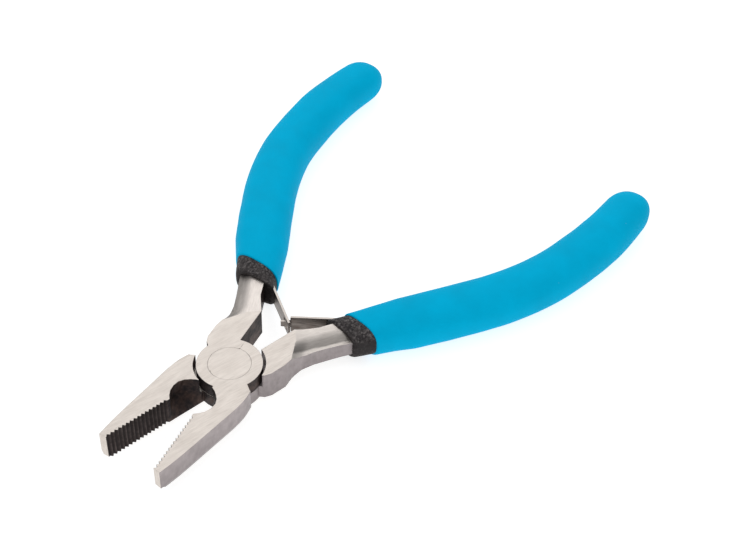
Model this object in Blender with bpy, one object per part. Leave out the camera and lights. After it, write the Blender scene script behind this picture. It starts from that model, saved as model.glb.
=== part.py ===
"""Mini combination pliers: lap-jointed steel halves, leaf return springs and dipped grips.

Frame: +X towards the jaw tips, +Z up, origin on the pivot axis at the underside of the joint.
Each half is drawn closed, jaws along +X, and is then turned open about the pivot axis.
Half B is half A turned over about the X axis at mid thickness.
"""
import math

import bmesh
import bpy
from mathutils import Matrix, Vector

MM = 0.001

# Joint
JOINT_T = 5.8 * MM              # thickness of the lap joint, jaws and tangs
MID_Z = JOINT_T / 2
OPEN_HALF = math.radians(11.87)  # each half's swing from closed to the relaxed pose
DISC_R = 6.0 * MM               # lap disc
SHOULDER_R = 6.55 * MM          # hollow arc that the other half's disc turns in
LAP_GAP = 0.1 * MM              # between the two lap faces
RIVET_R = 2.6 * MM              # rivet shank
RIVET_HEAD_R = 3.86 * MM        # flush head at each face
RIVET_CONE = 1.0 * MM           # height of the head's cone
RIVET_LIP = 0.35 * MM           # straight rim at the face
RIVET_GAP = 0.08 * MM           # running clearance
ROUND_STEPS = 48

# Jaws, in plan
JAW_TIP = 26.35 * MM
GRIP_LINE = 0.04 * MM           # gripping face, measured from the closed centre line
TEETH_START = 13.6 * MM
TEETH_PITCH = 0.79 * MM
TEETH_COUNT = 16
TEETH_DEPTH = 0.45 * MM
JAW_OUTER = [(26.8, 1.4), (22.5, 2.75), (18.0, 3.9), (13.0, 5.15), (9.0, 6.15), (6.3, 6.55), (4.2, 6.5)]
JAW_SHOULDER = [(4.0, 6.2), (3.2, 5.4)]
UNDER_EDGE = [(0.0, 1.1), (0.55, 0.4), (1.6, 0.0)]  # softened outer edge: height above underside, inset
TIP_CHAMFER = {"a": (1.3 * MM, 1.6 * MM), "b": (0.5 * MM, 0.6 * MM)}  # along the jaw, and up the tip face

# Pipe grip and side cutter
RECESS = [(13.1, -0.6), (13.1, 0.0), (12.55, 0.85), (11.8, 1.6), (10.7, 2.2), (9.5, 2.4), (8.4, 2.05),
          (7.5, 1.4), (6.85, 0.75), (6.35, 0.05), (6.04, -0.6)]
CUTTER_RISE = 2.5 * MM          # height over which the recess slopes out to the cutting edge
CUTTER_LAND = 0.25 * MM         # upright land left behind the cutting edge
CUTTER_BACK = 0.02 * MM         # the edge stands this far short of the closed centre line

# Tang and handle bar, in plan
TANG_INNER = [(-5.93, -1.0), (-14.2, -1.0), (-15.6, -1.85), (-18.2, -3.3)]
TANG_OUTER = [(-19.0, -8.6), (-16.5, -7.65), (-14.0, -6.8), (-11.5, -6.35), (-9.3, -6.35), (-7.3, -6.75),
              (-4.2, -6.75), (-2.9, -6.3), (-2.25, -5.6)]
BAR_LINE = [(-7.0, -3.8), (-13.5, -4.05), (-20.8, -6.7), (-31.4, -10.5), (-41.0, -14.3), (-51.0, -17.7),
            (-61.0, -19.6), (-71.5, -19.65), (-81.6, -18.45), (-86.0, -17.5)]
BAR_HALF_W = 2.5 * MM
BAR_END_HALF_W = 2.0 * MM
BAR_VISIBLE = 14.5 * MM         # distance along the bar line to the collar
BAR_FLAT = [(10.0, 2.6), (15.0, 2.45), (22.0, 2.0), (60.0, 1.7)]  # half height of the bar's flat inner part
BAR_RIDGE = [(10.0, 1.65), (15.0, 1.5), (22.0, 1.3)]  # half height of its outer side
SLOPE_SHARES = (0.2, -0.75)     # the top falls from flat to ridge between these shares of the half width
BOSS_EDGE = -14.1 * MM          # X of the flat boss's end where Y is -1.2 mm
BOSS_SLOPE = -0.815             # how that end runs from there to where Y is -3.9 mm
BOSS_CURVE = 76.1               # its curvature, per metre
BOSS_MARKS = (1.2 * MM, 3.9 * MM)
COVE_LENGTH = 3.6 * MM          # run of the hollow from the flat boss down to the bar
CROWN_FINE = (-1.0 * MM, 13.0 * MM, 22)   # first, last and number of stations that shape the boss
CROWN_COARSE = (14.8 * MM, 20.0 * MM, 4)  # and the visible bar
CROWN_HIDDEN = 26.0 * MM        # first station inside the grip
UNDER_REACH = 1.3 * MM          # the underside's hollow starts this much sooner on the outer side
SEAT_DEPTH = 0.7 * MM           # flat let into the bar's inner side for the spring leaf
SEAT_SPAN = (15.4 * MM, 30.0 * MM)
SEAT_RAMP = 1.5 * MM

# Spring leaves, in plan on half A
LEAF_SEATED = (27.5, 24.0, 20.5)  # stations along the bar line, mm
LEAF_FREE = [(-24.8, -5.75), (-22.9, -3.8), (-21.3, -1.95), (-18.0, 1.25), (-14.7, 4.45)]
LEAF_GAP = 0.1 * MM             # under the leaf, and under the rivet head over it
LEAF_T = 0.42 * MM
LEAF_HALF_W = 2.0 * MM
LEAF_POCKET = (-0.4 * MM, 16.5 * MM)  # stretch of the leaf that needs room inside the grip
LEAF_CROSSING = 1.6 * MM        # from the slotted leaf's end back to where the leaves cross
SLOT = (2.2 * MM, 2.0 * MM)     # length and height
TONGUE_HALF_W = 0.7 * MM
TONGUE_LENGTH = 2.1 * MM
TONGUE_TRIM = 0.25 * MM         # the tongued leaf ends this much sooner
PIN_R = 0.8 * MM
PIN_HEAD_R = 1.25 * MM
PIN_HEAD_T = 0.4 * MM
PIN_DEPTH = 2.2 * MM
HEAD_TOP = LEAF_T + 2 * LEAF_GAP + PIN_HEAD_T  # above the seat
PIN_ALONG = 23.8 * MM           # distance of the spring rivet along the bar line
PIN_GAP = 0.12 * MM             # round its shank
PIN_STEPS = 16
LEAF_PLAIN = 14.0 * MM          # both leaves have parallel edges up to here
LEAF_STEPS = 18
TONGUE_SHOULDER = 0.75 * MM     # the tongue starts this far before the crossing

# Grips
GRIP_LINE_PLAN = [(-20.85, -5.95), (-24.7, -7.68), (-31.4, -10.3), (-41.0, -14.15), (-51.0, -17.65),
                  (-61.0, -19.6), (-71.5, -19.65), (-81.6, -18.5)]
GRIP_TAIL = {"a": (-95.25, -14.95), "b": (-93.7, -15.7)}  # end of each grip's centre line
GRIP_SLIMMER = {"a": 0.0, "b": 0.13 * MM}  # off half width and thickness; the centre line moves out
GRIP_HALF_W = [(0.0, 4.2), (3.8, 4.35), (8.0, 4.83), (13.0, 5.31), (20.0, 5.41), (32.0, 5.41), (45.0, 5.27),
               (60.0, 5.21), (69.0, 4.91), (80.0, 4.62)]
GRIP_HALF_T = [(0.0, 3.4), (3.8, 3.75), (8.0, 4.1), (13.0, 4.3), (20.0, 4.4), (45.0, 4.4), (60.0, 4.3),
               (69.0, 4.1), (80.0, 3.9)]
GRIP_POWER = [(0.0, 3.2), (8.0, 2.35)]  # exponent of the rounded section, boxier at the front
COLLAR_LENGTH = 3.9 * MM
COLLAR_UNDER = 0.3 * MM         # collar's step below the outer layer
COLLAR_GAP = 0.12 * MM          # from the collar's end to the outer layer's front edge
SKIN_GAP = 0.25 * MM
OUTER_WALL = 1.2 * MM
WALL_RUN = 7.0 * MM             # length over which the outer layer thickens
END_ROUND = 3.6 * MM            # length of the rounded end
END_BLUNT = 0.62                # below 1 the end is blunter than an ellipse
INNER_END = 3.2 * MM            # inner layer stops this far short of the grip's end
COLLAR_FRONT = {"a": 0.8 * MM, "b": 0.0}  # each dip starts at its own distance along the grip line
FRONT_SKEW = {"a": math.radians(34), "b": math.radians(26)}  # lean of the front edges from square
SKEW_SPAN = (5.0 * MM, 15.0 * MM)  # the lean fades out over this stretch
FRONT_ROUND = 0.3 * MM          # softening of both layers' front edges
FRONT_MARKS = (2.4 * MM, 5.4 * MM)  # sections of the outer layer behind its front edge
OUTER_FROM = 13.0 * MM          # both layers have evenly spaced sections from here on
INNER_FROM = 16.0 * MM
SECTION_POINTS = 28

STEEL = (0.66, 0.63, 0.60)
SPRING_STEEL = (0.50, 0.47, 0.45)
BLUE = (0.0, 0.37, 0.62)
BLACK = (0.035, 0.032, 0.033)


def mm(points):
    """Plan points given in millimetres, as vectors in metres."""
    return [Vector((x * MM, y * MM)) for x, y in points]


def table(rows, s):
    """Straight interpolation in a short table of (distance mm, value mm), in metres."""
    s = s / MM
    for (s0, v0), (s1, v1) in zip(rows, rows[1:]):
        if s <= s1:
            return (v0 + (v1 - v0) * max(s - s0, 0.0) / (s1 - s0)) * MM
    return rows[-1][1] * MM


def catmull(points, steps):
    """Smooth curve through points, with steps pieces between neighbours."""
    ends = [points[0] * 2 - points[1]] + list(points) + [points[-1] * 2 - points[-2]]
    curve = []
    for a, b, c, d in zip(ends, ends[1:], ends[2:], ends[3:]):
        for i in range(steps):
            t = i / steps
            curve.append(b + (c - a) * (t / 2) + (a * 2 - b * 5 + c * 4 - d) * (t * t / 2)
                         + (b * 3 - a - c * 3 + d) * (t ** 3 / 2))
    curve.append(points[-1].copy())
    return curve


class Path:
    """A smooth plan curve read by distance; it runs on straight past both ends."""

    def __init__(self, points):
        self.points = catmull(points, 24)
        self.at = [0.0]
        for a, b in zip(self.points, self.points[1:]):
            self.at.append(self.at[-1] + (b - a).length)
        self.length = self.at[-1]

    def segment(self, s):
        for i in range(len(self.at) - 2):
            if s < self.at[i + 1]:
                return i
        return len(self.at) - 2

    def point(self, s):
        i = self.segment(s)
        a, b = self.points[i], self.points[i + 1]
        return a + (b - a) * ((s - self.at[i]) / (self.at[i + 1] - self.at[i]))

    def side(self, s):
        """Unit normal, towards the closed centre line on the handle."""
        step = 0.4 * MM
        along = (self.point(s + step) - self.point(s - step)).normalized()
        return Vector((along.y, -along.x))

    def offset(self, s, distance):
        return self.point(s) + self.side(s) * distance


def spread(start, end, count):
    return [start + (end - start) * i / (count - 1) for i in range(count)]


def arc(radius, start, end, count):
    return [Vector((math.cos(math.radians(a)), math.sin(math.radians(a)))) * radius
            for a in spread(start, end, count)]


# ---------------------------------------------------------------- mesh helpers

def new_object(name, bm, colour=None, metallic=0.0, roughness=0.5):
    bmesh.ops.recalc_face_normals(bm, faces=bm.faces)
    mesh = bpy.data.meshes.new(name)
    bm.to_mesh(mesh)
    bm.free()
    obj = bpy.data.objects.new(name, mesh)
    bpy.context.scene.collection.objects.link(obj)
    if colour is None:
        obj.hide_render = True
        obj.display_type = "WIRE"
        return obj
    mat = bpy.data.materials.new(name)
    mat.use_nodes = True
    shader = mat.node_tree.nodes["Principled BSDF"]
    shader.inputs["Base Color"].default_value = (*colour, 1.0)
    shader.inputs["Metallic"].default_value = metallic
    shader.inputs["Roughness"].default_value = roughness
    mesh.materials.append(mat)
    mesh.shade_smooth()
    mesh.set_sharp_from_angle(angle=math.radians(30))
    return obj


def loft(rings):
    """Solid through rings of equal length, closed by a flat face at each end."""
    bm = bmesh.new()
    rows = [[bm.verts.new(p) for p in ring] for ring in rings]
    for low, high in zip(rows, rows[1:]):
        for i in range(len(low)):
            j = (i + 1) % len(low)
            bm.faces.new((low[i], low[j], high[j], high[i]))
    bm.faces.new(rows[0])
    bm.faces.new(rows[-1])
    return bm


def ring_at(outline, z):
    return [Vector((p.x, p.y, z)) for p in outline]


def prism(outline, low, high):
    return loft([ring_at(outline, low), ring_at(outline, high)])


def turned(profile, steps):
    """Solid of revolution about +Z from (radius, z) pairs, closed by flat ends."""
    return loft([ring_at(arc(r, 0, 360 - 360 / steps, steps), z) for r, z in profile])


def cut(target, cutter):
    cutter.parent = target
    modifier = target.modifiers.new(cutter.name, "BOOLEAN")
    modifier.operation = "DIFFERENCE"
    modifier.solver = "EXACT"
    modifier.object = cutter


# ---------------------------------------------------------------- steel halves

def bar_widths(s):
    """Inner and outer half width of the handle bar at a distance along its line."""
    fade = max(s - BAR_VISIBLE, 0.0) / (bar.length - BAR_VISIBLE)
    plain = BAR_HALF_W + (BAR_END_HALF_W - BAR_HALF_W) * min(fade, 1.0)
    inside = min(s - SEAT_SPAN[0], SEAT_SPAN[1] - s)
    return plain - SEAT_DEPTH * min(max(inside / SEAT_RAMP, 0.0), 1.0), plain


def leaf_points():
    """The leaf lies along its seat on the bar, then leaves it and runs straight to its end."""
    seated = [bar.offset(s * MM, bar_widths(s * MM)[0] + LEAF_GAP + LEAF_T / 2) for s in LEAF_SEATED]
    return seated + mm(LEAF_FREE)


def bar_sides():
    """Inner side of the hidden bar from the collar to its end, and outer side back again."""
    marks = [BAR_VISIBLE, SEAT_SPAN[0], SEAT_SPAN[0] + SEAT_RAMP, SEAT_SPAN[1] - SEAT_RAMP, SEAT_SPAN[1]]
    marks += spread(SEAT_SPAN[1] + 5 * MM, bar.length, 10)
    inner = [bar.offset(s, bar_widths(s)[0]) for s in marks]
    outer = [bar.offset(s, -bar_widths(s)[1]) for s in marks]
    nose = [bar.offset(bar.length + BAR_END_HALF_W * 0.6, BAR_END_HALF_W * k) for k in (0.6, -0.6)]
    return inner + nose + outer[::-1]


def half_outline():
    """Plan of a half: jaw, lap disc, tang and bar, without the pipe-grip recess."""
    points = [Vector((RECESS[1][0] * MM, GRIP_LINE))]
    for i in range(TEETH_COUNT):
        root = TEETH_START + TEETH_PITCH * i
        points.append(Vector((root, GRIP_LINE)))
        points.append(Vector((root + TEETH_PITCH / 2, GRIP_LINE + TEETH_DEPTH)))
    points.append(Vector((TEETH_START + TEETH_PITCH * TEETH_COUNT, GRIP_LINE)))
    points.append(Vector((JAW_TIP, GRIP_LINE)))
    points += catmull(mm(JAW_OUTER), 2)
    points += mm(JAW_SHOULDER)
    points += arc(DISC_R, 60, 189, 24)
    points += mm(TANG_INNER)
    points += bar_sides()
    points += mm(TANG_OUTER)
    points += arc(DISC_R, 249, 360, 20)
    points.append(Vector((DISC_R + 0.1 * MM, GRIP_LINE)))
    return points


def boss_edge(v):
    """Where the flat boss ends and the hollow down to the bar begins, as X for a given Y."""
    a, b = v + BOSS_MARKS[0], v + BOSS_MARKS[1]
    return BOSS_EDGE + BOSS_SLOPE * a + BOSS_CURVE * a * b


def bar_top(p, s, across, reach):
    """Height of the tang's upper surface above mid thickness; reach starts the hollow sooner outside."""
    flat, ridge = table(BAR_FLAT, s), table(BAR_RIDGE, s)
    start, end = SLOPE_SHARES
    share = min(max((start - across) / (start - end), 0.0), 1.0)
    height = flat - (flat - ridge) * share * share * (3 - 2 * share)
    past = boss_edge(p.y) + reach * share - p.x
    if past >= COVE_LENGTH:
        return height
    rise = (1 - past / COVE_LENGTH) ** 2
    return height + (MID_Z - height) * min(rise, 2.5)


def crown_cutter(side, reach):
    """Solid above (side 1) or below (side -1) the tang that shapes the bar and hollows the cove."""
    stations = spread(*CROWN_FINE) + spread(*CROWN_COARSE)
    stations += spread(CROWN_HIDDEN, bar.length + 3 * MM, 9)
    shares = [-1.6, -0.75, -0.6, -0.45, -0.3, -0.15, 0.0, 0.2, 0.9, 1.6]
    rings = []
    for s in stations:
        flat = [(bar.offset(s, BAR_HALF_W * k), k) for k in shares]
        ring = [Vector((p.x, p.y, MID_Z + side * bar_top(p, s, k, reach))) for p, k in flat]
        for p, _ in (flat[-1], flat[0]):
            ring.append(Vector((p.x, p.y, MID_Z + side * (MID_Z + 3 * MM))))
        rings.append(ring)
    return loft(rings)


def recess_cutter(edge):
    """Pipe-grip recess that slopes out to a straight cutting edge at the face z = edge."""
    outward = -1 if edge == 0 else 1
    outline = mm(RECESS)
    line = [Vector((p.x, min(p.y, -CUTTER_BACK))) for p in outline]
    return loft([ring_at(line, edge - outward * CUTTER_LAND),
                 ring_at(outline, edge - outward * CUTTER_RISE),
                 ring_at(outline, edge - outward * (JOINT_T + MM))])


def edge_cutter(edge):
    """Strip along the jaw's outer side that softens its edge at the face z = edge."""
    outward = -1 if edge == 0 else 1
    points = catmull(mm(JAW_OUTER), 2)
    points.insert(0, points[0] * 2 - points[1])
    points.append(points[-1] * 2 - points[-2])
    rings = []
    for before, point, after in zip([points[0]] + points, points, points[1:] + [points[-1]]):
        along = (after - before).normalized()
        inward = Vector((-along.y, along.x))
        profile = [(inset * MM, edge - outward * height * MM) for height, inset in UNDER_EDGE]
        profile += [(-MM, profile[-1][1]), (-MM, edge + outward * MM), (profile[0][0], edge + outward * MM)]
        flat = [(point + inward * x, z) for x, z in profile]
        rings.append([Vector((p.x, p.y, z)) for p, z in flat])
    return loft(rings)


def tip_cutter(edge, run, rise):
    """Wedge that chamfers the tip towards the face z = edge."""
    outward = -1 if edge == 0 else 1
    top, past = edge - outward * rise, edge + outward * MM
    back, front = JAW_TIP - run, JAW_TIP + MM
    profile = [(back, edge), (JAW_TIP, top), (front, top), (front, past), (back, past)]
    return loft([[Vector((x, y, z)) for x, z in profile] for y in (-MM, 3 * MM)])


def head_profile(gap):
    """Half of the rivet's outline from its shank up through the flush head at the top face."""
    return [(RIVET_R + gap, JOINT_T - RIVET_LIP - RIVET_CONE), (RIVET_HEAD_R + gap, JOINT_T - RIVET_LIP)]


def pin_matrix(base):
    """Turns a part built along +Z to point out of the bar's inner side, at height MID_Z."""
    out = bar.side(PIN_ALONG)
    foot = bar.offset(PIN_ALONG, base)
    turn = Vector((0, 0, 1)).rotation_difference(Vector((out.x, out.y, 0))).to_matrix().to_4x4()
    return Matrix.Translation((foot.x, foot.y, MID_Z)) @ turn


def pin_solid(gap, head):
    """Spring rivet: shank in the bar, and a thin head over the leaf when head is set."""
    seat = bar_widths(PIN_ALONG)[0]
    reach = LEAF_T + 2 * LEAF_GAP
    profile = [(PIN_R + gap, -PIN_DEPTH - gap), (PIN_R + gap, reach)]
    if head:
        rim = reach + PIN_HEAD_T * 0.4
        profile += [(PIN_HEAD_R, reach), (PIN_HEAD_R, rim), (PIN_HEAD_R * 0.6, HEAD_TOP)]
    bm = turned(profile, PIN_STEPS)
    bmesh.ops.transform(bm, matrix=pin_matrix(seat), verts=bm.verts)
    return bm


def place(obj, half):
    """Turns a piece drawn on closed half A into its open place on half A or B."""
    if half == "b":
        flip = Matrix.Translation((0, 0, JOINT_T)) @ Matrix.Rotation(math.pi, 4, "X")
        obj.data.transform(flip)
        for child in obj.children:
            child.data.transform(flip)
    obj.rotation_euler.z = OPEN_HALF if half == "a" else -OPEN_HALF


def make_half(half):
    edge = 0 if half == "a" else JOINT_T
    outward = -1 if half == "a" else 1
    body = new_object(f"plier_half_{half}", prism(half_outline(), 0, JOINT_T), STEEL, 1.0, 0.38)
    lap = prism(arc(SHOULDER_R, 0, 360 - 360 / 64, 64), -MM, MID_Z + LAP_GAP / 2)
    cut(body, new_object(f"lap_cutter_{half}", lap))
    bore = [(RIVET_R + RIVET_GAP, -MM)] + head_profile(RIVET_GAP)
    bore.append((RIVET_HEAD_R + RIVET_GAP, JOINT_T + MM))
    cut(body, new_object(f"bore_cutter_{half}", turned(bore, ROUND_STEPS)))
    cut(body, new_object(f"recess_cutter_{half}", recess_cutter(edge)))
    cut(body, new_object(f"edge_cutter_{half}", edge_cutter(edge)))
    cut(body, new_object(f"tip_cutter_{half}", tip_cutter(edge, *TIP_CHAMFER[half])))
    cut(body, new_object(f"crown_cutter_top_{half}", crown_cutter(-outward, 0)))
    cut(body, new_object(f"crown_cutter_under_{half}", crown_cutter(outward, UNDER_REACH)))
    cut(body, new_object(f"pin_cutter_{half}", pin_solid(PIN_GAP, False)))
    place(body, half)


def make_rivet():
    upper = head_profile(0) + [(RIVET_HEAD_R, JOINT_T)]
    lower = [(r, JOINT_T - z) for r, z in reversed(upper)]
    new_object("pivot_rivet", turned(lower + upper, ROUND_STEPS), STEEL, 1.0, 0.36)


# ---------------------------------------------------------------- springs

def leaf_ring(s, half_w):
    a, b = leaf.offset(s, LEAF_T / 2), leaf.offset(s, -LEAF_T / 2)
    return [Vector((a.x, a.y, MID_Z - half_w)), Vector((b.x, b.y, MID_Z - half_w)),
            Vector((b.x, b.y, MID_Z + half_w)), Vector((a.x, a.y, MID_Z + half_w))]


def make_leaf(half):
    crossing = leaf.length - LEAF_CROSSING
    stops = [(s, LEAF_HALF_W) for s in spread(0, LEAF_PLAIN, LEAF_STEPS)]
    if half == "a":
        stops.append((leaf.length, LEAF_HALF_W * 0.85))
    else:
        shoulder = crossing - TONGUE_SHOULDER
        end = shoulder + TONGUE_LENGTH - TONGUE_TRIM
        stops += [(shoulder, LEAF_HALF_W * 0.9), (shoulder + 0.02 * MM, TONGUE_HALF_W)]
        stops.append((end, TONGUE_HALF_W * 0.9))
    strip = loft([leaf_ring(s, w) for s, w in stops])
    piece = new_object(f"leaf_spring_{half}", strip, SPRING_STEEL, 1.0, 0.3)
    if half == "a":
        centre, side = leaf.point(crossing), leaf.side(crossing)
        along = Vector((-side.y, side.x))
        corners = ((-1, -1), (1, -1), (1, 1), (-1, 1))
        box = [centre + along * (SLOT[0] / 2 * i) + side * (MM * j) for i, j in corners]
        slot = prism(box, MID_Z - SLOT[1] / 2, MID_Z + SLOT[1] / 2)
        cut(piece, new_object("slot_cutter_a", slot))
    hole = turned([(PIN_R + PIN_GAP, -MM), (PIN_R + PIN_GAP, 2 * MM)], PIN_STEPS)
    bmesh.ops.transform(hole, matrix=pin_matrix(bar_widths(PIN_ALONG)[0]), verts=hole.verts)
    cut(piece, new_object(f"leaf_hole_{half}", hole))
    place(piece, half)


def make_pin(half):
    piece = new_object(f"spring_rivet_{half}", pin_solid(0, True), SPRING_STEEL, 1.0, 0.35)
    place(piece, half)


# ---------------------------------------------------------------- grips

def section(centre, side, half_w, half_t, power):
    """Rounded oval section across the grip."""
    ring = []
    for i in range(SECTION_POINTS):
        a = 2 * math.pi * i / SECTION_POINTS
        c, s = math.cos(a), math.sin(a)
        x = math.copysign(abs(c) ** (2 / power), c) * half_w
        z = math.copysign(abs(s) ** (2 / power), s) * half_t
        ring.append(Vector((centre.x + side.x * x, centre.y + side.y * x, MID_Z + z)))
    return ring


def grip_ring(half, s, shrink, scale=1.0):
    """Section of the grip's outer surface, drawn in by shrink, square to a leaning direction."""
    side = grip[half].side(s)
    centre = grip[half].offset(s, -GRIP_SLIMMER[half])
    shrink += GRIP_SLIMMER[half]
    fade = (SKEW_SPAN[1] - s) / (SKEW_SPAN[1] - SKEW_SPAN[0])
    lean = FRONT_SKEW[half] * min(max(fade, 0.0), 1.0)
    side.rotate(Matrix.Rotation(-lean, 2))
    half_w, half_t = table(GRIP_HALF_W, s) - shrink, table(GRIP_HALF_T, s) - shrink
    return section(centre, side, half_w * scale / math.cos(lean), half_t * scale, table(GRIP_POWER, s) / MM)


def rounded_end(half, start, end, shrink, steps):
    """Rings that close a grip layer with a round nose from start to end."""
    rings = []
    for i in range(1, steps + 1):
        a = math.pi / 2 * i / (steps + 0.35)
        rings.append(grip_ring(half, start + (end - start) * math.sin(a), shrink, math.cos(a) ** END_BLUNT))
    return rings


def skin_depth(half, s):
    """Depth of the inner layer's surface below the grip's outer surface."""
    covered = s - COLLAR_FRONT[half] - COLLAR_LENGTH
    if covered < 0:
        return COLLAR_UNDER
    share = min(covered / WALL_RUN, 1.0)
    return COLLAR_UNDER + SKIN_GAP + 0.05 * MM + (OUTER_WALL - COLLAR_UNDER) * share


def make_inner_sleeve(half):
    front, end = COLLAR_FRONT[half], grip[half].length - INNER_END
    step = front + COLLAR_LENGTH
    marks = [front + FRONT_ROUND, (front + step) / 2, step - COLLAR_GAP, step]
    marks += spread(step + WALL_RUN * 0.3, step + WALL_RUN, 3) + spread(INNER_FROM, end - END_ROUND, 13)
    rings = [grip_ring(half, front, COLLAR_UNDER + FRONT_ROUND * 0.7)]
    rings += [grip_ring(half, s, skin_depth(half, s)) for s in marks]
    rings += rounded_end(half, end - END_ROUND, end, skin_depth(half, end), 3)
    sleeve = new_object(f"inner_sleeve_{half}", loft(rings), BLACK, 0.0, 0.55)
    cut(sleeve, new_object(f"bar_pocket_{half}", bar_pocket()))
    cut(sleeve, new_object(f"leaf_pocket_{half}", leaf_pocket()))
    room = turned([(PIN_HEAD_R + SKIN_GAP, -MM), (PIN_HEAD_R + SKIN_GAP, HEAD_TOP + SKIN_GAP)], PIN_STEPS)
    bmesh.ops.transform(room, matrix=pin_matrix(bar_widths(PIN_ALONG)[0]), verts=room.verts)
    cut(sleeve, new_object(f"head_pocket_{half}", room))
    place(sleeve, half)


def bar_pocket():
    """Room for the bar inside the inner layer, with a gap all round."""
    rings = []
    for s in spread(BAR_VISIBLE - 4 * MM, bar.length + 2.2 * MM, 18):
        wide = bar_widths(s)[1] + SKIN_GAP
        low = table(BAR_RIDGE, s) + SKIN_GAP * 0.8
        high = table(BAR_FLAT, s) + SKIN_GAP * 0.6
        upper = [(wide, high), (-wide * 0.2, high), (-wide, low)]
        lower = [(x, -z) for x, z in reversed(upper)]
        flat = [(bar.offset(s, x), z) for x, z in lower + upper]
        rings.append([Vector((p.x, p.y, MID_Z + z)) for p, z in flat])
    return loft(rings)


def leaf_pocket():
    """Slit for the spring leaf, from its seat on the bar out through the collar's inner flank."""
    rings = []
    for s in spread(*LEAF_POCKET, 16):
        room = LEAF_T / 2 + SKIN_GAP * 0.8
        tall = LEAF_HALF_W + SKIN_GAP
        a, b = leaf.offset(s, room), leaf.offset(s, -room)
        rings.append([Vector((a.x, a.y, MID_Z - tall)), Vector((b.x, b.y, MID_Z - tall)),
                      Vector((b.x, b.y, MID_Z + tall)), Vector((a.x, a.y, MID_Z + tall))])
    return loft(rings)


def make_grip_sleeve(half):
    step, end = COLLAR_FRONT[half] + COLLAR_LENGTH, grip[half].length
    front = step + COLLAR_GAP
    marks = [front + FRONT_ROUND] + [front + s for s in FRONT_MARKS]
    marks += spread(OUTER_FROM, end - END_ROUND, 15)
    rings = [grip_ring(half, front, FRONT_ROUND)] + [grip_ring(half, s, 0.0) for s in marks]
    rings += rounded_end(half, end - END_ROUND, end, 0.0, 5)
    sleeve = new_object(f"grip_sleeve_{half}", loft(rings), BLUE, 0.0, 0.5)
    inner_end = end - INNER_END + SKIN_GAP
    marks = [step - 2 * MM, step] + spread(step + WALL_RUN * 0.3, step + WALL_RUN, 3)
    marks += spread(INNER_FROM, inner_end - END_ROUND, 13)
    rings = [grip_ring(half, s, skin_depth(half, max(s, step)) - SKIN_GAP) for s in marks]
    rings += rounded_end(half, inner_end - END_ROUND, inner_end, skin_depth(half, inner_end) - SKIN_GAP, 3)
    cut(sleeve, new_object(f"skin_pocket_{half}", loft(rings)))
    place(sleeve, half)


for old in list(bpy.data.objects):
    bpy.data.objects.remove(old)

bar = Path(mm(BAR_LINE))
leaf = Path(leaf_points())
grip = {which: Path(mm(GRIP_LINE_PLAN + [GRIP_TAIL[which]])) for which in "ab"}

make_rivet()
for which in "ab":
    make_half(which)
    make_leaf(which)
    make_pin(which)
    make_inner_sleeve(which)
    make_grip_sleeve(which)
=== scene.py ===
"""Looks of the mini combination pliers: ground steel halves, speckled collars and satin blue dips."""
import math

import bmesh
import bpy
from mathutils import Matrix, Vector, noise


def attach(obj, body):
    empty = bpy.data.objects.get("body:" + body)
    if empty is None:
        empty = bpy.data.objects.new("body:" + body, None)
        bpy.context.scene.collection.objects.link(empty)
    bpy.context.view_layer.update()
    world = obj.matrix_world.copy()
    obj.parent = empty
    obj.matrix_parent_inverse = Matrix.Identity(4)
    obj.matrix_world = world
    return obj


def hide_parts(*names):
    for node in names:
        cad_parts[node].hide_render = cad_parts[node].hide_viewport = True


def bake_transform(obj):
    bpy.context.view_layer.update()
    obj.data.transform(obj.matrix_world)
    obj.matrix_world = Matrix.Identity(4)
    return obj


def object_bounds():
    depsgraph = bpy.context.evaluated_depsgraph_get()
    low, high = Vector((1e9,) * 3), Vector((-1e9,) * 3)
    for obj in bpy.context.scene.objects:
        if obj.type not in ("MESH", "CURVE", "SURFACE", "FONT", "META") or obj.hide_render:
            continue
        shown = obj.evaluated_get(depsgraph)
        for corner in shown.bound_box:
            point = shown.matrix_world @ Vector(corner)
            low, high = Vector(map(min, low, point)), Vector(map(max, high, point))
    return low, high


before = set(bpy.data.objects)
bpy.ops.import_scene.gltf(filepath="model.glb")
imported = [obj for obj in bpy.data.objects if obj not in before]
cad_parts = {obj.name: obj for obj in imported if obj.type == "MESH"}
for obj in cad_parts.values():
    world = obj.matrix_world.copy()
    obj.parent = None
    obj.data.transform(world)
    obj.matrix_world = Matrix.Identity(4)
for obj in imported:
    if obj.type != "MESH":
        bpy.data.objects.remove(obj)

cad_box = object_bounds()

MM = 0.001

# Shape shared with the CAD model. Plan points are in mm on half A with the jaws closed, and the
# grip tables hold (mm from the grip's front, mm), or the squareness of the section for GRIP_POWER.
JOINT_T = 5.8 * MM                # thickness of the joint
MID_Z = JOINT_T / 2
OPEN_HALF = math.radians(11.87)   # each half stands open by this
SHOULDER_R = 6.55 * MM            # recess round the joint's disc
GRIP_PLAN = [(-20.85, -5.95), (-24.7, -7.68), (-31.4, -10.3), (-41.0, -14.15), (-51.0, -17.65),
             (-61.0, -19.6), (-71.5, -19.65), (-81.6, -18.5)]
GRIP_TAIL = {"a": (-95.25, -14.95), "b": (-93.7, -15.7)}
GRIP_SLIMMER = {"a": 0.0, "b": 0.13 * MM}
GRIP_HALF_W = [(0.0, 4.2), (3.8, 4.35), (8.0, 4.83), (13.0, 5.31), (20.0, 5.41), (32.0, 5.41),
               (45.0, 5.27), (60.0, 5.21), (69.0, 4.91), (80.0, 4.62)]
GRIP_HALF_T = [(0.0, 3.4), (3.8, 3.75), (8.0, 4.1), (13.0, 4.3), (20.0, 4.4), (45.0, 4.4),
               (60.0, 4.3), (69.0, 4.1), (80.0, 3.9)]
GRIP_POWER = [(0.0, 3.2), (8.0, 2.35)]
FRONT_SKEW = {"a": math.radians(34), "b": math.radians(26)}
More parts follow.
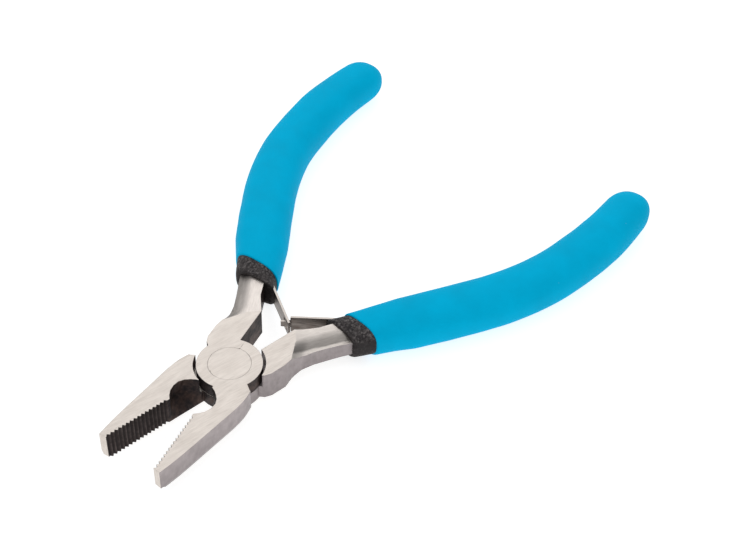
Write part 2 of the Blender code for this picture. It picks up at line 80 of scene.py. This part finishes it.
SKEW_SPAN = (5.0 * MM, 15.0 * MM)  # the front's lean fades out over this stretch
COLLAR_FRONT = {"a": 0.8 * MM, "b": 0.0}
COLLAR_LENGTH = 3.9 * MM
COLLAR_GAP = 0.12 * MM
COLLAR_UNDER = 0.3 * MM
BAR_LINE = [(-7.0, -3.8), (-13.5, -4.05), (-20.8, -6.7), (-31.4, -10.5)]
BAR_HALF_W = 2.5 * MM
GRIP_LINE = 0.04 * MM             # the jaws' toothed faces stand this far from the middle
TEETH_DEPTH = 0.45 * MM

# Camera solved from the photo
CAMERA_SENSOR = 36.0
CAMERA_LENS = 69.114
CAMERA_RIGHT = (-0.59318, 0.80456, 0.02853)
CAMERA_DOWN = (0.54655, 0.42847, -0.71951)
CAMERA_AHEAD = (-0.59112, -0.41121, -0.69389)
CAMERA_PLACE = (0.12814, 0.12007, 0.1966)

# Studio
SKY_COLOUR = (0.96, 0.98, 1.0, 1.0)
SKY_STRENGTH = 0.46
FLOOR_SIZE = 3.0
FLOOR_DROP = 0.02 * MM            # the floor lies this far under the lowest point
FLOOR_GREY = 0.42
FLOOR_GLOW = 0.78
SOFTBOXES = [("softbox_back", (-0.649, -0.585, 0.635), 0.95, 1.05, 2.65),
             ("softbox_top", (0.15, 0.1, 0.9), 1.15, 1.15, 3.7)]  # name, place, width, height, watts

# Meshes
CURVE_STEPS = 24                  # steps between two points of a plan curve
SIDE_REACH = 0.4 * MM             # a plan curve's direction is read over this reach
WELD = 0.001 * MM
FLAT_ANGLE = math.radians(0.4)    # CAD facets closer than this are joined into one face
FORGED_SHARP = 25                 # degrees; sharper edges break the smooth shading
LEAF_SHARP = 35
DIP_SHARP = 50
AROUND = 96                       # points round a grip
GRIP_ROWS = 80
GRIP_START = 0.9                  # mm from the dip's front to the first plain row
END_ROWS = 18
END_CLOSE = 0.35                  # share of a row that is left open to the last ring
END_ROUND = {"a": 5.3 * MM, "b": 6.2 * MM}  # a grip narrows over this, as in the photo, inside the CAD
END_BLUNT = {"a": 0.8, "b": 0.78}           # 1 is an ellipse, less is blunter
COLLAR_ROWS = 12
COLLAR_TUCK = (0.9, 0.6)          # mm that the collar runs on under the blue, and sinks there
GRIP_FRONT_EDGE = [(0.6, 1.2), (0.05, 0.75), (0.02, 0.45), (0.0, 0.28), (0.07, 0.1),
                   (0.24, 0.02), (0.5, 0.0)]                      # (mm back, mm in)
COLLAR_EDGE = [(0.5, 1.5), (0.3, 1.1), (0.1, 0.7), (0.0, 0.42), (0.06, 0.2), (0.22, 0.06),
               (0.5, 0.0), (0.8, 0.0)]                            # (mm back, mm in)
DIP_WAVE = (0.05 * MM, 260)       # unevenness of a dipped skin, and its features per metre
COLLAR_WAVE = (0.03 * MM, 1400)
RAGGED = 0.3 * MM                 # unevenness of the collar's front edge
RAGGED_NOISE = ((900, 1.0), (2300, 0.6))                          # (features per metre, share)
RIVET_EDGE_R = 3.5 * MM           # the rivet's heads are peened out from here,
RIVET_PEENED = 1.0145             # by this factor, until only a hairline is left round them
RIVET_UNEVEN = (0.007, 330)       # the hairline's width varies by this share of the radius,
RIVET_CLEAR = 1.0172              # and the heads never reach the hole's edge

# Where each finish of a half lies
GROUND, SIDE, DARK, BAR, TEETH = range(5)
GROUND_SKIN = 0.03 * MM           # ground faces lie this close to the top or bottom,
BORE_ZONE = 4.2 * MM              # or are the rivet's bore, within this of the axis
BAR_ZONE = -6 * MM                # the bar's crown starts behind this
CROWN_FACING = 0.25               # and faces up or down by more than this
DISC_ZONE = SHOULDER_R + 0.1 * MM  # rims of the disc and of the recess round it
NECK_ZONE = 4 * MM                # half B's rim is bright on its outer side, behind this
TEETH_ZONE = (13.2 * MM, 0.6 * MM)  # teeth start ahead of this, and lie this close to the middle
TIP_ZONE = 20 * MM                # the tip's end face is ahead of this
TIP_FACING = 0.8                  # and faces forward by more than this
SIDE_FACING = 0.25                # an outer side faces outward by more than this
BAR_STATIONS = 200                # places along the bar line that a point is measured from

# Finishes
GRAIN_TURN = math.radians(-16.5)  # direction of the belt grinding, from +X
GRAIN_CROSS = 0.12                # the broader scratches cross it by this angle
GROUND_BRIGHT = (0.70, 0.638, 0.585)
GROUND_DULL = (0.575, 0.518, 0.47)
GROUND_ROUGH = 0.36
# Nicks beside the rivet: (place in mm), turn in degrees, (half length, half width in mm)
NICKS = [((-3.88, -0.93), -31, (0.3, 0.15)), ((-4.7, -1.03), 9, (0.75, 0.07)),
         ((3.5, -1.45), 20, (0.22, 0.1))]
NICK_COLOUR = (0.16, 0.13, 0.115)
SIDE_SHADE_SPAN = 30 * MM               # the sides' painted shade along the jaws is spread over this length
# half B's bar is set darker than half A's as painted shade
BAR_BRIGHT = {"a": (0.86, 0.79, 0.737), "b": (0.80, 0.735, 0.685)}
BAR_TURN = {"a": math.radians(32), "b": math.radians(-32)}
# painted shade and highlights across each bar, as (place across, share) stops
BAR_PAINTED_SHADES = {"a": [(0.0, 0.335), (0.14, 0.37), (0.3, 0.71), (0.42, 0.98), (1.0, 1.0)],
             "b": [(0.0, 0.9), (0.13, 0.9), (0.2, 0.38), (0.4, 0.46), (0.66, 0.9), (1.0, 1.0)]}


# ---------------------------------------------------------------- camera and studio

def make_camera():
    data = bpy.data.cameras.new("camera")
    data.sensor_width = CAMERA_SENSOR
    data.lens = CAMERA_LENS
    camera = bpy.data.objects.new("camera", data)
    bpy.context.scene.collection.objects.link(camera)
    axes = (Vector(CAMERA_RIGHT), -Vector(CAMERA_DOWN), -Vector(CAMERA_AHEAD))
    place = Matrix(axes).transposed().to_4x4()
    place.translation = Vector(CAMERA_PLACE)
    camera.matrix_world = place
    bpy.context.scene.camera = camera


def make_studio():
    bpy.context.scene.view_settings.view_transform = "Standard"
    world = bpy.data.worlds.new("studio")
    bpy.context.scene.world = world
    world.use_nodes = True
    backdrop = world.node_tree.nodes["Background"]
    backdrop.inputs["Color"].default_value = SKY_COLOUR
    backdrop.inputs["Strength"].default_value = SKY_STRENGTH

    bm = bmesh.new()
    bmesh.ops.create_grid(bm, x_segments=1, y_segments=1, size=FLOOR_SIZE)
    floor = mesh_object("floor", bm)
    floor.location = (0, 0, cad_box[0].z - FLOOR_DROP)
    floor.data.materials.append(floor_material())

    for row in SOFTBOXES:
        softbox(*row)


def softbox(name, place, width, height, power):
    """An area light that faces the joint."""
    data = bpy.data.lights.new(name, "AREA")
    data.shape = "RECTANGLE"
    data.size = width
    data.size_y = height
    data.energy = power
    lamp = bpy.data.objects.new(name, data)
    lamp.location = place
    lamp.rotation_euler = (-Vector(place)).to_track_quat("-Z", "Y").to_euler()
    bpy.context.scene.collection.objects.link(lamp)


# ---------------------------------------------------------------- mesh helpers

def mesh_object(name, bm):
    mesh = bpy.data.meshes.new(name)
    bm.to_mesh(mesh)
    bm.free()
    obj = bpy.data.objects.new(name, mesh)
    bpy.context.scene.collection.objects.link(obj)
    return obj


def table(rows, s):
    """The value at s of a short table of (distance mm, value mm), in metres."""
    s = s / MM
    for (s0, v0), (s1, v1) in zip(rows, rows[1:]):
        if s <= s1:
            return (v0 + (v1 - v0) * max(s - s0, 0.0) / (s1 - s0)) * MM
    return rows[-1][1] * MM


def catmull(points, steps):
    """A smooth curve through points."""
    ends = [points[0] * 2 - points[1]] + list(points) + [points[-1] * 2 - points[-2]]
    curve = []
    for a, b, c, d in zip(ends, ends[1:], ends[2:], ends[3:]):
        for i in range(steps):
            t = i / steps
            curve.append(b + (c - a) * (t / 2) + (a * 2 - b * 5 + c * 4 - d) * (t * t / 2)
                         + (b * 3 - a - c * 3 + d) * (t ** 3 / 2))
    curve.append(points[-1].copy())
    return curve


class Path:
    """A smooth plan curve read by distance."""

    def __init__(self, points):
        self.points = catmull([Vector((x * MM, y * MM)) for x, y in points], CURVE_STEPS)
        self.at = [0.0]
        for a, b in zip(self.points, self.points[1:]):
            self.at.append(self.at[-1] + (b - a).length)
        self.length = self.at[-1]

    def point(self, s):
        i = 0
        while i < len(self.at) - 2 and s >= self.at[i + 1]:
            i += 1
        a, b = self.points[i], self.points[i + 1]
        return a + (b - a) * ((s - self.at[i]) / (self.at[i + 1] - self.at[i]))

    def side(self, s):
        """The direction square to the curve at s."""
        along = (self.point(s + SIDE_REACH) - self.point(s - SIDE_REACH)).normalized()
        return Vector((along.y, -along.x))


def placed(p, half):
    """A point drawn on closed half A, in its open place on half A or B."""
    if half == "b":
        p = Vector((p.x, -p.y, JOINT_T - p.z))
    turn = Matrix.Rotation(OPEN_HALF if half == "a" else -OPEN_HALF, 3, "Z")
    return turn @ p


def drawn(p, half):
    """The closed half A coordinates of a point or direction of an open half."""
    turn = Matrix.Rotation(-OPEN_HALF if half == "a" else OPEN_HALF, 3, "Z")
    p = turn @ p
    return p if half == "a" else Vector((p.x, -p.y, p.z))


def smooth(obj, degrees):
    """Smooth shading that stays flat on large faces and breaks at edges sharper than degrees."""
    obj.data.shade_smooth()
    obj.data.set_sharp_from_angle(angle=math.radians(degrees))
    normals = obj.modifiers.new("normals", "WEIGHTED_NORMAL")
    normals.keep_sharp = True


# ---------------------------------------------------------------- material helpers

class Nodes:
    """A short way to write a material's node tree."""

    def __init__(self, name):
        self.material = bpy.data.materials.new(name)
        self.material.use_nodes = True
        self.tree = self.material.node_tree
        self.shader = self.tree.nodes["Principled BSDF"]
        self.place = self.add("ShaderNodeTexCoord").outputs["Object"]

    def add(self, kind, **values):
        node = self.tree.nodes.new(kind)
        for key, value in values.items():
            setattr(node, key, value)
        return node

    def link(self, source, target):
        self.tree.links.new(source, target)

    def set(self, name, value):
        """Sets or links one input of the shader."""
        if isinstance(value, bpy.types.NodeSocket):
            self.link(value, self.shader.inputs[name])
        else:
            self.shader.inputs[name].default_value = value

    def mapped(self, turn, scale):
        """Coordinates turned so that X runs along turn, with scale features to the metre."""
        node = self.add("ShaderNodeMapping", vector_type="TEXTURE")
        node.inputs["Rotation"].default_value = (0, 0, turn)
        node.inputs["Scale"].default_value = [1 / k for k in scale]
        self.link(self.place, node.inputs["Vector"])
        return node.outputs["Vector"]

    def noise(self, vector, scale, detail=3.0, roughness=0.55):
        node = self.add("ShaderNodeTexNoise")
        node.inputs["Scale"].default_value = scale
        node.inputs["Detail"].default_value = detail
        node.inputs["Roughness"].default_value = roughness
        self.link(vector, node.inputs["Vector"])
        return node.outputs["Fac"]

    def cells(self, vector, scale):
        node = self.add("ShaderNodeTexVoronoi")
        node.inputs["Scale"].default_value = scale
        self.link(vector, node.inputs["Vector"])
        return node.outputs["Distance"]

    def ramp(self, value, stops):
        """Maps a value through (position, grey or colour) stops."""
        node = self.add("ShaderNodeValToRGB")
        elements = node.color_ramp.elements
        while len(elements) < len(stops):
            elements.new(0.5)
        for element, (position, colour) in zip(elements, stops):
            element.position = position
            element.color = (*colour, 1) if isinstance(colour, tuple) else (colour, colour, colour, 1)
        self.link(value, node.inputs["Fac"])
        return node.outputs["Color"]

    def mix(self, share, first, second, blend="MIX"):
        node = self.add("ShaderNodeMix", data_type="RGBA", blend_type=blend)
        for i, value in ((0, share), (6, first), (7, second)):
            socket = node.inputs[i]
            if isinstance(value, bpy.types.NodeSocket):
                self.link(value, socket)
            else:
                socket.default_value = (*value, 1) if isinstance(value, tuple) else value
        return node.outputs[2]

    def mark(self, centre, turn, sizes):
        """A share that is high at the middle of an ellipsoid of these half sizes, and 0 outside it."""
        node = self.add("ShaderNodeMapping", vector_type="TEXTURE")
        node.inputs["Location"].default_value = centre
        node.inputs["Rotation"].default_value = (0, 0, turn)
        node.inputs["Scale"].default_value = sizes
        self.link(self.place, node.inputs["Vector"])
        reach = self.add("ShaderNodeVectorMath", operation="LENGTH")
        self.link(node.outputs["Vector"], reach.inputs[0])
        return self.ramp(reach.outputs["Value"], [(0.35, 0.85), (1.0, 0.0)])

    def attribute(self, name):
        return self.add("ShaderNodeAttribute", attribute_name=name).outputs["Fac"]

    def math(self, operation, *values):
        node = self.add("ShaderNodeMath", operation=operation)
        for socket, value in zip(node.inputs, values):
            if isinstance(value, bpy.types.NodeSocket):
                self.link(value, socket)
            else:
                socket.default_value = value
        return node.outputs[0]

    def upness(self):
        """How squarely a surface faces up or down, from 0 to 1."""
        facing = self.add("ShaderNodeSeparateXYZ")
        self.link(self.add("ShaderNodeNewGeometry").outputs["Normal"], facing.inputs[0])
        return self.math("ABSOLUTE", facing.outputs["Z"])

    def bump(self, height, distance, strength, rounded=0.0):
        """Adds relief; rounded softens the sharp edges within that radius."""
        node = self.add("ShaderNodeBump")
        node.inputs["Strength"].default_value = strength
        node.inputs["Distance"].default_value = distance
        self.link(height, node.inputs["Height"])
        if rounded:
            edge = self.add("ShaderNodeBevel", samples=6)
            edge.inputs["Radius"].default_value = rounded
            self.link(edge.outputs["Normal"], node.inputs["Normal"])
        self.set("Normal", node.outputs["Normal"])


# ---------------------------------------------------------------- materials

def floor_material():
    """Backlit white acrylic, with a trace of grain in its gloss."""
    n = Nodes("white_acrylic")
    n.set("Base Color", (FLOOR_GREY, FLOOR_GREY, FLOOR_GREY, 1))
    n.set("Roughness", n.ramp(n.noise(n.place, 900), [(0.3, 0.55), (0.7, 0.7)]))
    n.set("Specular IOR Level", 0.2)
    n.set("Emission Color", (1, 1, 1, 1))
    n.set("Emission Strength", FLOOR_GLOW)
    return n.material


def ground_steel():
    """Belt-ground steel: long fine scratches in one direction over soft patches of tone."""
    n = Nodes("ground_steel")
    fine = n.noise(n.mapped(GRAIN_TURN, (420, 4800, 900)), 1.0, 4.0, 0.7)
    broad = n.noise(n.mapped(GRAIN_TURN + GRAIN_CROSS, (210, 1000, 300)), 1.0)
    patches = n.ramp(n.noise(n.place, 300), [(0.35, 0.0), (0.7, 0.5)])
    tone = n.ramp(n.mix(0.5, fine, broad), [(0.36, GROUND_DULL), (0.58, GROUND_BRIGHT)])
    colour = n.mix(patches, tone, tuple(c * 0.9 for c in GROUND_BRIGHT))
    for (x, y), turn, (length, width) in NICKS:
        spot = n.mark((x * MM, y * MM, JOINT_T), math.radians(turn), (length * MM, width * MM, MM))
        colour = n.mix(spot, colour, NICK_COLOUR)
    n.set("Base Color", colour)
    n.set("Metallic", 1.0)
    n.set("Roughness", n.ramp(fine, [(0.3, GROUND_ROUGH + 0.1), (0.7, GROUND_ROUGH - 0.04)]))
    n.bump(n.mix(0.4, fine, broad), 0.004 * MM, 0.5, 0.1 * MM)
    return n.material


def side_steel():
    """Satin outer sides: short vertical brushing and mottling, a base tone set low partly as painted
    shade, and painted shade low down and along the jaws.
    """
    n = Nodes("satin_side")
    brushed = n.noise(n.mapped(0.0, (1500, 1500, 420)), 1.0, 4.0, 0.65)
    mottle = n.noise(n.place, 620)
    # the sides' low base tone is partly painted shade, for the darker surroundings that the sides face
    tone = n.ramp(n.mix(0.5, brushed, mottle),
                  [(0.36, (0.335, 0.297, 0.297)), (0.62, (0.405, 0.36, 0.36))])
    place = n.add("ShaderNodeSeparateXYZ")
    n.link(n.place, place.inputs[0])
    along = n.math("MULTIPLY", place.outputs["X"], 1 / SIDE_SHADE_SPAN)
    # painted shade along the jaws: darkest at and behind the joint, lightest about a quarter of the way
    # along, a little darker towards the tips
    painted_shade_along = n.ramp(along, [(0.0, 0.86), (0.25, 1.0), (0.5, 0.92), (0.85, 0.89)])
    # painted shade: the sides darken towards their bottom
    painted_shade_low = n.ramp(n.math("MULTIPLY", place.outputs["Z"], 1 / JOINT_T), [(0.0, 0.88), (1.0, 1.1)])
    n.set("Base Color", n.mix(1.0, n.mix(1.0, tone, painted_shade_along, "MULTIPLY"), painted_shade_low, "MULTIPLY"))
    n.set("Metallic", 1.0)
    n.set("Roughness", n.ramp(mottle, [(0.3, 0.5), (0.7, 0.4)]))
    n.bump(n.mix(0.5, brushed, mottle), 0.01 * MM, 0.5, 0.16 * MM)
    return n.material


def dark_steel():
    """Unground faces, blackened by hardening, with brown and grey flecks."""
    n = Nodes("blackened_steel")
    flecks = n.noise(n.place, 1700, 4.0, 0.6)
    stains = n.noise(n.place, 420, 2.0)
    base = n.ramp(flecks, [(0.4, (0.02, 0.015, 0.016)), (0.6, (0.042, 0.03, 0.029)),
                           (0.78, (0.10, 0.072, 0.066))])
    stained = n.ramp(stains, [(0.42, 0.0), (0.66, 0.6)])
    n.set("Base Color", n.mix(stained, base, (0.085, 0.046, 0.033)))
    n.set("Metallic", 0.65)
    n.set("Roughness", n.ramp(stains, [(0.3, 0.62), (0.7, 0.45)]))
    n.bump(flecks, 0.02 * MM, 0.6, 0.07 * MM)
    return n.material


def tooth_steel():
    """Milled teeth: dark oiled facets, with painted shade that darkens them from the crests into the
    roots.
    """
    n = Nodes("milled_teeth")
    grime = n.noise(n.place, 1300, 4.0, 0.65)
    cut = n.noise(n.mapped(0.0, (2800, 2800, 160)), 1.0, 3.0, 0.6)
    # painted shade: the teeth darken with depth towards their roots
    painted_root_shade = n.ramp(n.attribute("depth"), [(0.0, (0.10, 0.077, 0.073)), (0.4, (0.05, 0.036, 0.034)),
                                         (0.95, (0.009, 0.006, 0.006))])
    soiled = n.ramp(n.mix(0.55, grime, cut), [(0.38, 0.9), (0.62, 0.0)])
    n.set("Base Color", n.mix(soiled, painted_root_shade, (0.019, 0.012, 0.011)))
    n.set("Metallic", 0.7)
    n.set("Roughness", n.ramp(grime, [(0.3, 0.5), (0.7, 0.36)]))
    n.set("Specular IOR Level", 0.2)
    n.bump(cut, 0.01 * MM, 0.5, 0.03 * MM)
    return n.material


def bar_steel(half):
    """Brushed crown of a handle bar, with painted shade and highlights across the bar that follow (place
    across, share) stops.
    """
    n = Nodes(f"brushed_bar_painted_shade_{half}")
    bright = BAR_BRIGHT[half]
    fine = n.noise(n.mapped(BAR_TURN[half], (500, 4200, 900)), 1.0, 4.0, 0.7)
    patches = n.noise(n.place, 330)
    across = n.math("MULTIPLY_ADD", n.attribute("across"), 0.5, 0.5)
    wander = n.math("MULTIPLY_ADD", patches, 0.16, -0.08)
    # painted shade and highlights across the bar
    tone = n.ramp(n.math("ADD", across, wander), BAR_PAINTED_SHADES[half])
    grained = n.ramp(fine, [(0.3, tuple(c * 0.86 for c in bright)), (0.7, bright)])
    n.set("Base Color", n.mix(1.0, grained, tone, "MULTIPLY"))
    n.set("Metallic", 1.0)
    n.set("Roughness", n.ramp(fine, [(0.3, 0.55), (0.7, 0.44)]))
    n.bump(n.mix(0.35, fine, patches), 0.008 * MM, 0.5, 0.14 * MM)
    return n.material


def spring_steel():
    """Rolled strip with a brown temper tint, fine lines along it and a painted highlight on its edges
    that face up or down.
    """
    n = Nodes("tempered_strip")
    lines = n.noise(n.mapped(0.0, (500, 500, 6000)), 1.0)
    tint = n.noise(n.place, 300, 2.0)
    steel = n.ramp(lines, [(0.35, (0.135, 0.115, 0.105)), (0.65, (0.28, 0.25, 0.23))])
    tinted = n.mix(n.ramp(tint, [(0.4, 0.0), (0.75, 0.55)]), steel, (0.12, 0.085, 0.065))
    # painted highlight on the faces that face up or down
    edge = n.ramp(n.upness(), [(0.5, 0.0), (0.85, 0.85)])
    n.set("Base Color", n.mix(edge, tinted, (0.66, 0.60, 0.55)))
    n.set("Metallic", 1.0)
    n.set("Roughness", n.ramp(lines, [(0.3, 0.42), (0.7, 0.3)]))
    n.bump(lines, 0.004 * MM, 0.5, 0.06 * MM)
    return n.material


def blue_dip():
    """Satin dipped skin: faint mottling, fine orange peel and a few pale specks."""
    n = Nodes("blue_dip")
    mottle = n.noise(n.place, 150)
    peel = n.noise(n.place, 2400, 2.0)
    specks = n.ramp(n.cells(n.place, 260), [(0.0, 0.6), (0.045, 0.0)])
    blue = n.ramp(mottle, [(0.3, (0.0, 0.425, 0.70)), (0.7, (0.0, 0.475, 0.78))])
    n.set("Base Color", n.mix(specks, blue, (0.12, 0.52, 0.72)))
    n.set("Roughness", n.ramp(mottle, [(0.3, 0.5), (0.7, 0.62)]))
    n.set("Specular IOR Level", 0.02)
    n.bump(peel, 0.012 * MM, 0.5)
    return n.material


def black_dip():
    """Rubbery under-dip, pitted and speckled grey, with the specks shown as painted light where it faces
    up or down and painted shade on its sides.
    """
    n = Nodes("speckled_black_dip")
    # painted light and shade: faces that face up or down show the grey specks, the sides are painted
    # almost black as shade
    flat = n.ramp(n.upness(), [(0.15, 0.12), (0.8, 1.0)])
    grit = n.noise(n.place, 2100, 3.0, 0.7)
    clumps = n.noise(n.place, 600, 2.0)
    base = n.ramp(grit, [(0.42, (0.016, 0.013, 0.014)), (0.54, (0.065, 0.057, 0.056)),
                         (0.67, (0.17, 0.155, 0.15))])
    specks_where_painted_lit = n.mix(n.ramp(clumps, [(0.4, 0.0), (0.65, 0.65)]), base, (0.045, 0.038, 0.038))
    n.set("Base Color", n.mix(flat, (0.022, 0.018, 0.018), specks_where_painted_lit))
    n.set("Roughness", n.ramp(grit, [(0.3, 0.75), (0.7, 0.5)]))
    n.set("Specular IOR Level", 0.2)
    n.bump(grit, 0.05 * MM, 0.7)
    return n.material


# ---------------------------------------------------------------- steel pieces

def copied(node, name, body=None):
    """A new piece with a welded copy of a CAD node's shape, which it stands for."""
    bm = bmesh.new()
    bm.from_mesh(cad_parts[node].data)
    bmesh.ops.remove_doubles(bm, verts=bm.verts, dist=WELD)
    bmesh.ops.dissolve_limit(bm, angle_limit=FLAT_ANGLE, verts=bm.verts, edges=bm.edges)
    piece = mesh_object(name, bm)
    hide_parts(node)
    if body:
        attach(piece, body)
    return piece


def finish_of(centre, normal, half):
    """Which finish a face of a half has, from its place and the way it faces."""
    p, d = drawn(centre, half), drawn(normal, half)
    reach = Vector((p.x, p.y)).length
    if abs(centre.z - MID_Z) > MID_Z - GROUND_SKIN or reach < BORE_ZONE:
        return GROUND
    if p.x < BAR_ZONE and abs(normal.z) > CROWN_FACING:
        return BAR
    if reach < DISC_ZONE:
        return SIDE if half == "b" and centre.y > 0 and centre.x < NECK_ZONE else DARK
    if p.x > TEETH_ZONE[0] and abs(p.y) < TEETH_ZONE[1]:
        return TEETH
    if p.x > TIP_ZONE and d.x > TIP_FACING:
        return GROUND
    outward = d.y if p.x > 0 else -d.y
    return SIDE if outward > SIDE_FACING else DARK


def measure(piece, half):
    """Stores how deep each point of the teeth lies, and how far across the bar each point of it lies."""
    bar = Path(BAR_LINE)
    stations = [bar.length * i / BAR_STATIONS for i in range(BAR_STATIONS + 1)]
    depth = piece.data.attributes.new("depth", "FLOAT", "POINT").data
    across = piece.data.attributes.new("across", "FLOAT", "POINT").data
    for vertex in piece.data.vertices:
        p = drawn(vertex.co, half).xy
        depth[vertex.index].value = min(max((abs(p.y) - GRIP_LINE) / TEETH_DEPTH, 0.0), 1.0)
        if p.x < BAR_LINE[0][0] * MM:
            s = min(stations, key=lambda at: (bar.point(at) - p).length)
            across[vertex.index].value = (p - bar.point(s)).dot(bar.side(s)) / BAR_HALF_W


def make_steel():
    ground, sides = ground_steel(), side_steel()
    bars = {half: bar_steel(half) for half in "ab"}
    dark, teeth = dark_steel(), tooth_steel()
    for half in "ab":
        piece = copied(f"plier_half_{half}", f"steel_half_{half}", f"handle_{half}")
        measure(piece, half)
        for material in (ground, sides, dark, bars[half], teeth):  # in the order of the finishes
            piece.data.materials.append(material)
        for face in piece.data.polygons:
            face.material_index = finish_of(face.center, face.normal, half)
        smooth(piece, FORGED_SHARP)
    rivet = copied("pivot_rivet", "rivet", "handle_a")
    for vertex in rivet.data.vertices:
        if math.hypot(vertex.co.x, vertex.co.y) > RIVET_EDGE_R:
            uneven = RIVET_UNEVEN[0] * noise.noise(vertex.co * RIVET_UNEVEN[1])
            vertex.co.xy *= min(RIVET_PEENED + uneven, RIVET_CLEAR)
    rivet.data.materials.append(ground)
    smooth(rivet, FORGED_SHARP)


def make_leaves(material):
    for half, sign in (("a", 1), ("b", -1)):
        piece = copied(f"leaf_spring_{half}", f"leaf_{half}")
        piece.data.materials.append(material)
        smooth(piece, LEAF_SHARP)
        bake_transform(piece)
        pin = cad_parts[f"spring_rivet_{half}"]
        pin.data.materials.clear()
        pin.data.materials.append(material)


# ---------------------------------------------------------------- grips

def grip_ring(path, half, s, shrink, scale=1.0):
    """Section of a grip's skin, drawn in by shrink, leaning near its front."""
    side = path.side(s)
    centre = path.point(s) - side * GRIP_SLIMMER[half]
    shrink += GRIP_SLIMMER[half]
    fade = (SKEW_SPAN[1] - s) / (SKEW_SPAN[1] - SKEW_SPAN[0])
    lean = FRONT_SKEW[half] * min(max(fade, 0.0), 1.0)
    side.rotate(Matrix.Rotation(-lean, 2))
    half_w = (table(GRIP_HALF_W, s) - shrink) * scale / math.cos(lean)
    half_t = (table(GRIP_HALF_T, s) - shrink) * scale
    power = table(GRIP_POWER, s) / MM
    ring = []
    for i in range(AROUND):
        a = 2 * math.pi * i / AROUND
        x = math.copysign(abs(math.cos(a)) ** (2 / power), math.cos(a)) * half_w
        z = math.copysign(abs(math.sin(a)) ** (2 / power), math.sin(a)) * half_t
        ring.append(Vector((centre.x + side.x * x, centre.y + side.y * x, MID_Z + z)))
    return ring


def skin(rings, half, name, unevenness):
    """Solid through rings with the unevenness of a dipped skin."""
    wave, grain = unevenness
    bm = bmesh.new()
    rows = []
    for ring in rings:
        middle = sum(ring, Vector()) / len(ring)
        row = []
        for p in ring:
            uneven = noise.noise(placed(p, half) * grain) * wave - wave
            row.append(bm.verts.new(placed(p + (p - middle).normalized() * uneven, half)))
        rows.append(row)
    for low, high in zip(rows, rows[1:]):
        for i in range(AROUND):
            j = (i + 1) % AROUND
            bm.faces.new((low[i], low[j], high[j], high[i]))
    bm.faces.new(rows[0])
    bm.faces.new(rows[-1])
    bmesh.ops.recalc_face_normals(bm, faces=bm.faces)
    return mesh_object(name, bm)


def make_blue_grip(half, path, blue):
    front, end = COLLAR_FRONT[half] + COLLAR_LENGTH + COLLAR_GAP, path.length
    rings = [grip_ring(path, half, front + back * MM, under * MM) for back, under in GRIP_FRONT_EDGE]
    start = front + GRIP_START * MM
    plain = end - END_ROUND[half] - start
    for i in range(GRIP_ROWS):
        rings.append(grip_ring(path, half, start + plain * i / (GRIP_ROWS - 1), 0.0))
    for i in range(1, END_ROWS + 1):
        a = math.pi / 2 * i / (END_ROWS + END_CLOSE)
        back = END_ROUND[half] * (1 - math.sin(a))
        rings.append(grip_ring(path, half, end - back, 0.0, math.cos(a) ** END_BLUNT[half]))
    piece = skin(rings, half, f"blue_grip_{half}", DIP_WAVE)
    piece.data.materials.append(blue)
    smooth(piece, DIP_SHARP)
    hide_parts(f"grip_sleeve_{half}")
    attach(piece, f"handle_{half}")


def make_collar(half, path, black):
    """The visible band of the under-dip: ragged where it ends on the bar, smooth under the blue."""
    front = COLLAR_FRONT[half]
    rings = []
    for back, under in COLLAR_EDGE:
        rings.append(grip_ring(path, half, front + back * MM, COLLAR_UNDER + under * MM))
    for i in range(COLLAR_ROWS):
        back = MM + (COLLAR_LENGTH - MM) * i / (COLLAR_ROWS - 1)
        rings.append(grip_ring(path, half, front + back, COLLAR_UNDER))
    on, sunk = COLLAR_TUCK
    rings.append(grip_ring(path, half, front + COLLAR_LENGTH + on * MM, COLLAR_UNDER + sunk * MM))
    for ring, (back, _) in zip(rings, COLLAR_EDGE):
        loose = RAGGED * (1 - back)
        for i, p in enumerate(ring):
            along = (rings[-1][i] - rings[0][i]).normalized()
            ragged = sum(share * noise.noise(p * grain) for grain, share in RAGGED_NOISE)
            ring[i] = p + along * (abs(ragged) * loose)
    piece = skin(rings, half, f"collar_{half}", COLLAR_WAVE)
    piece.data.materials.append(black)
    smooth(piece, DIP_SHARP)
    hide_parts(f"inner_sleeve_{half}")
    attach(piece, f"handle_{half}")


def make_grips(blue, black):
    for half in "ab":
        path = Path(GRIP_PLAN + [GRIP_TAIL[half]])
        make_blue_grip(half, path, blue)
        make_collar(half, path, black)


make_camera()
make_studio()
make_steel()
make_leaves(spring_steel())
make_grips(blue_dip(), black_dip())
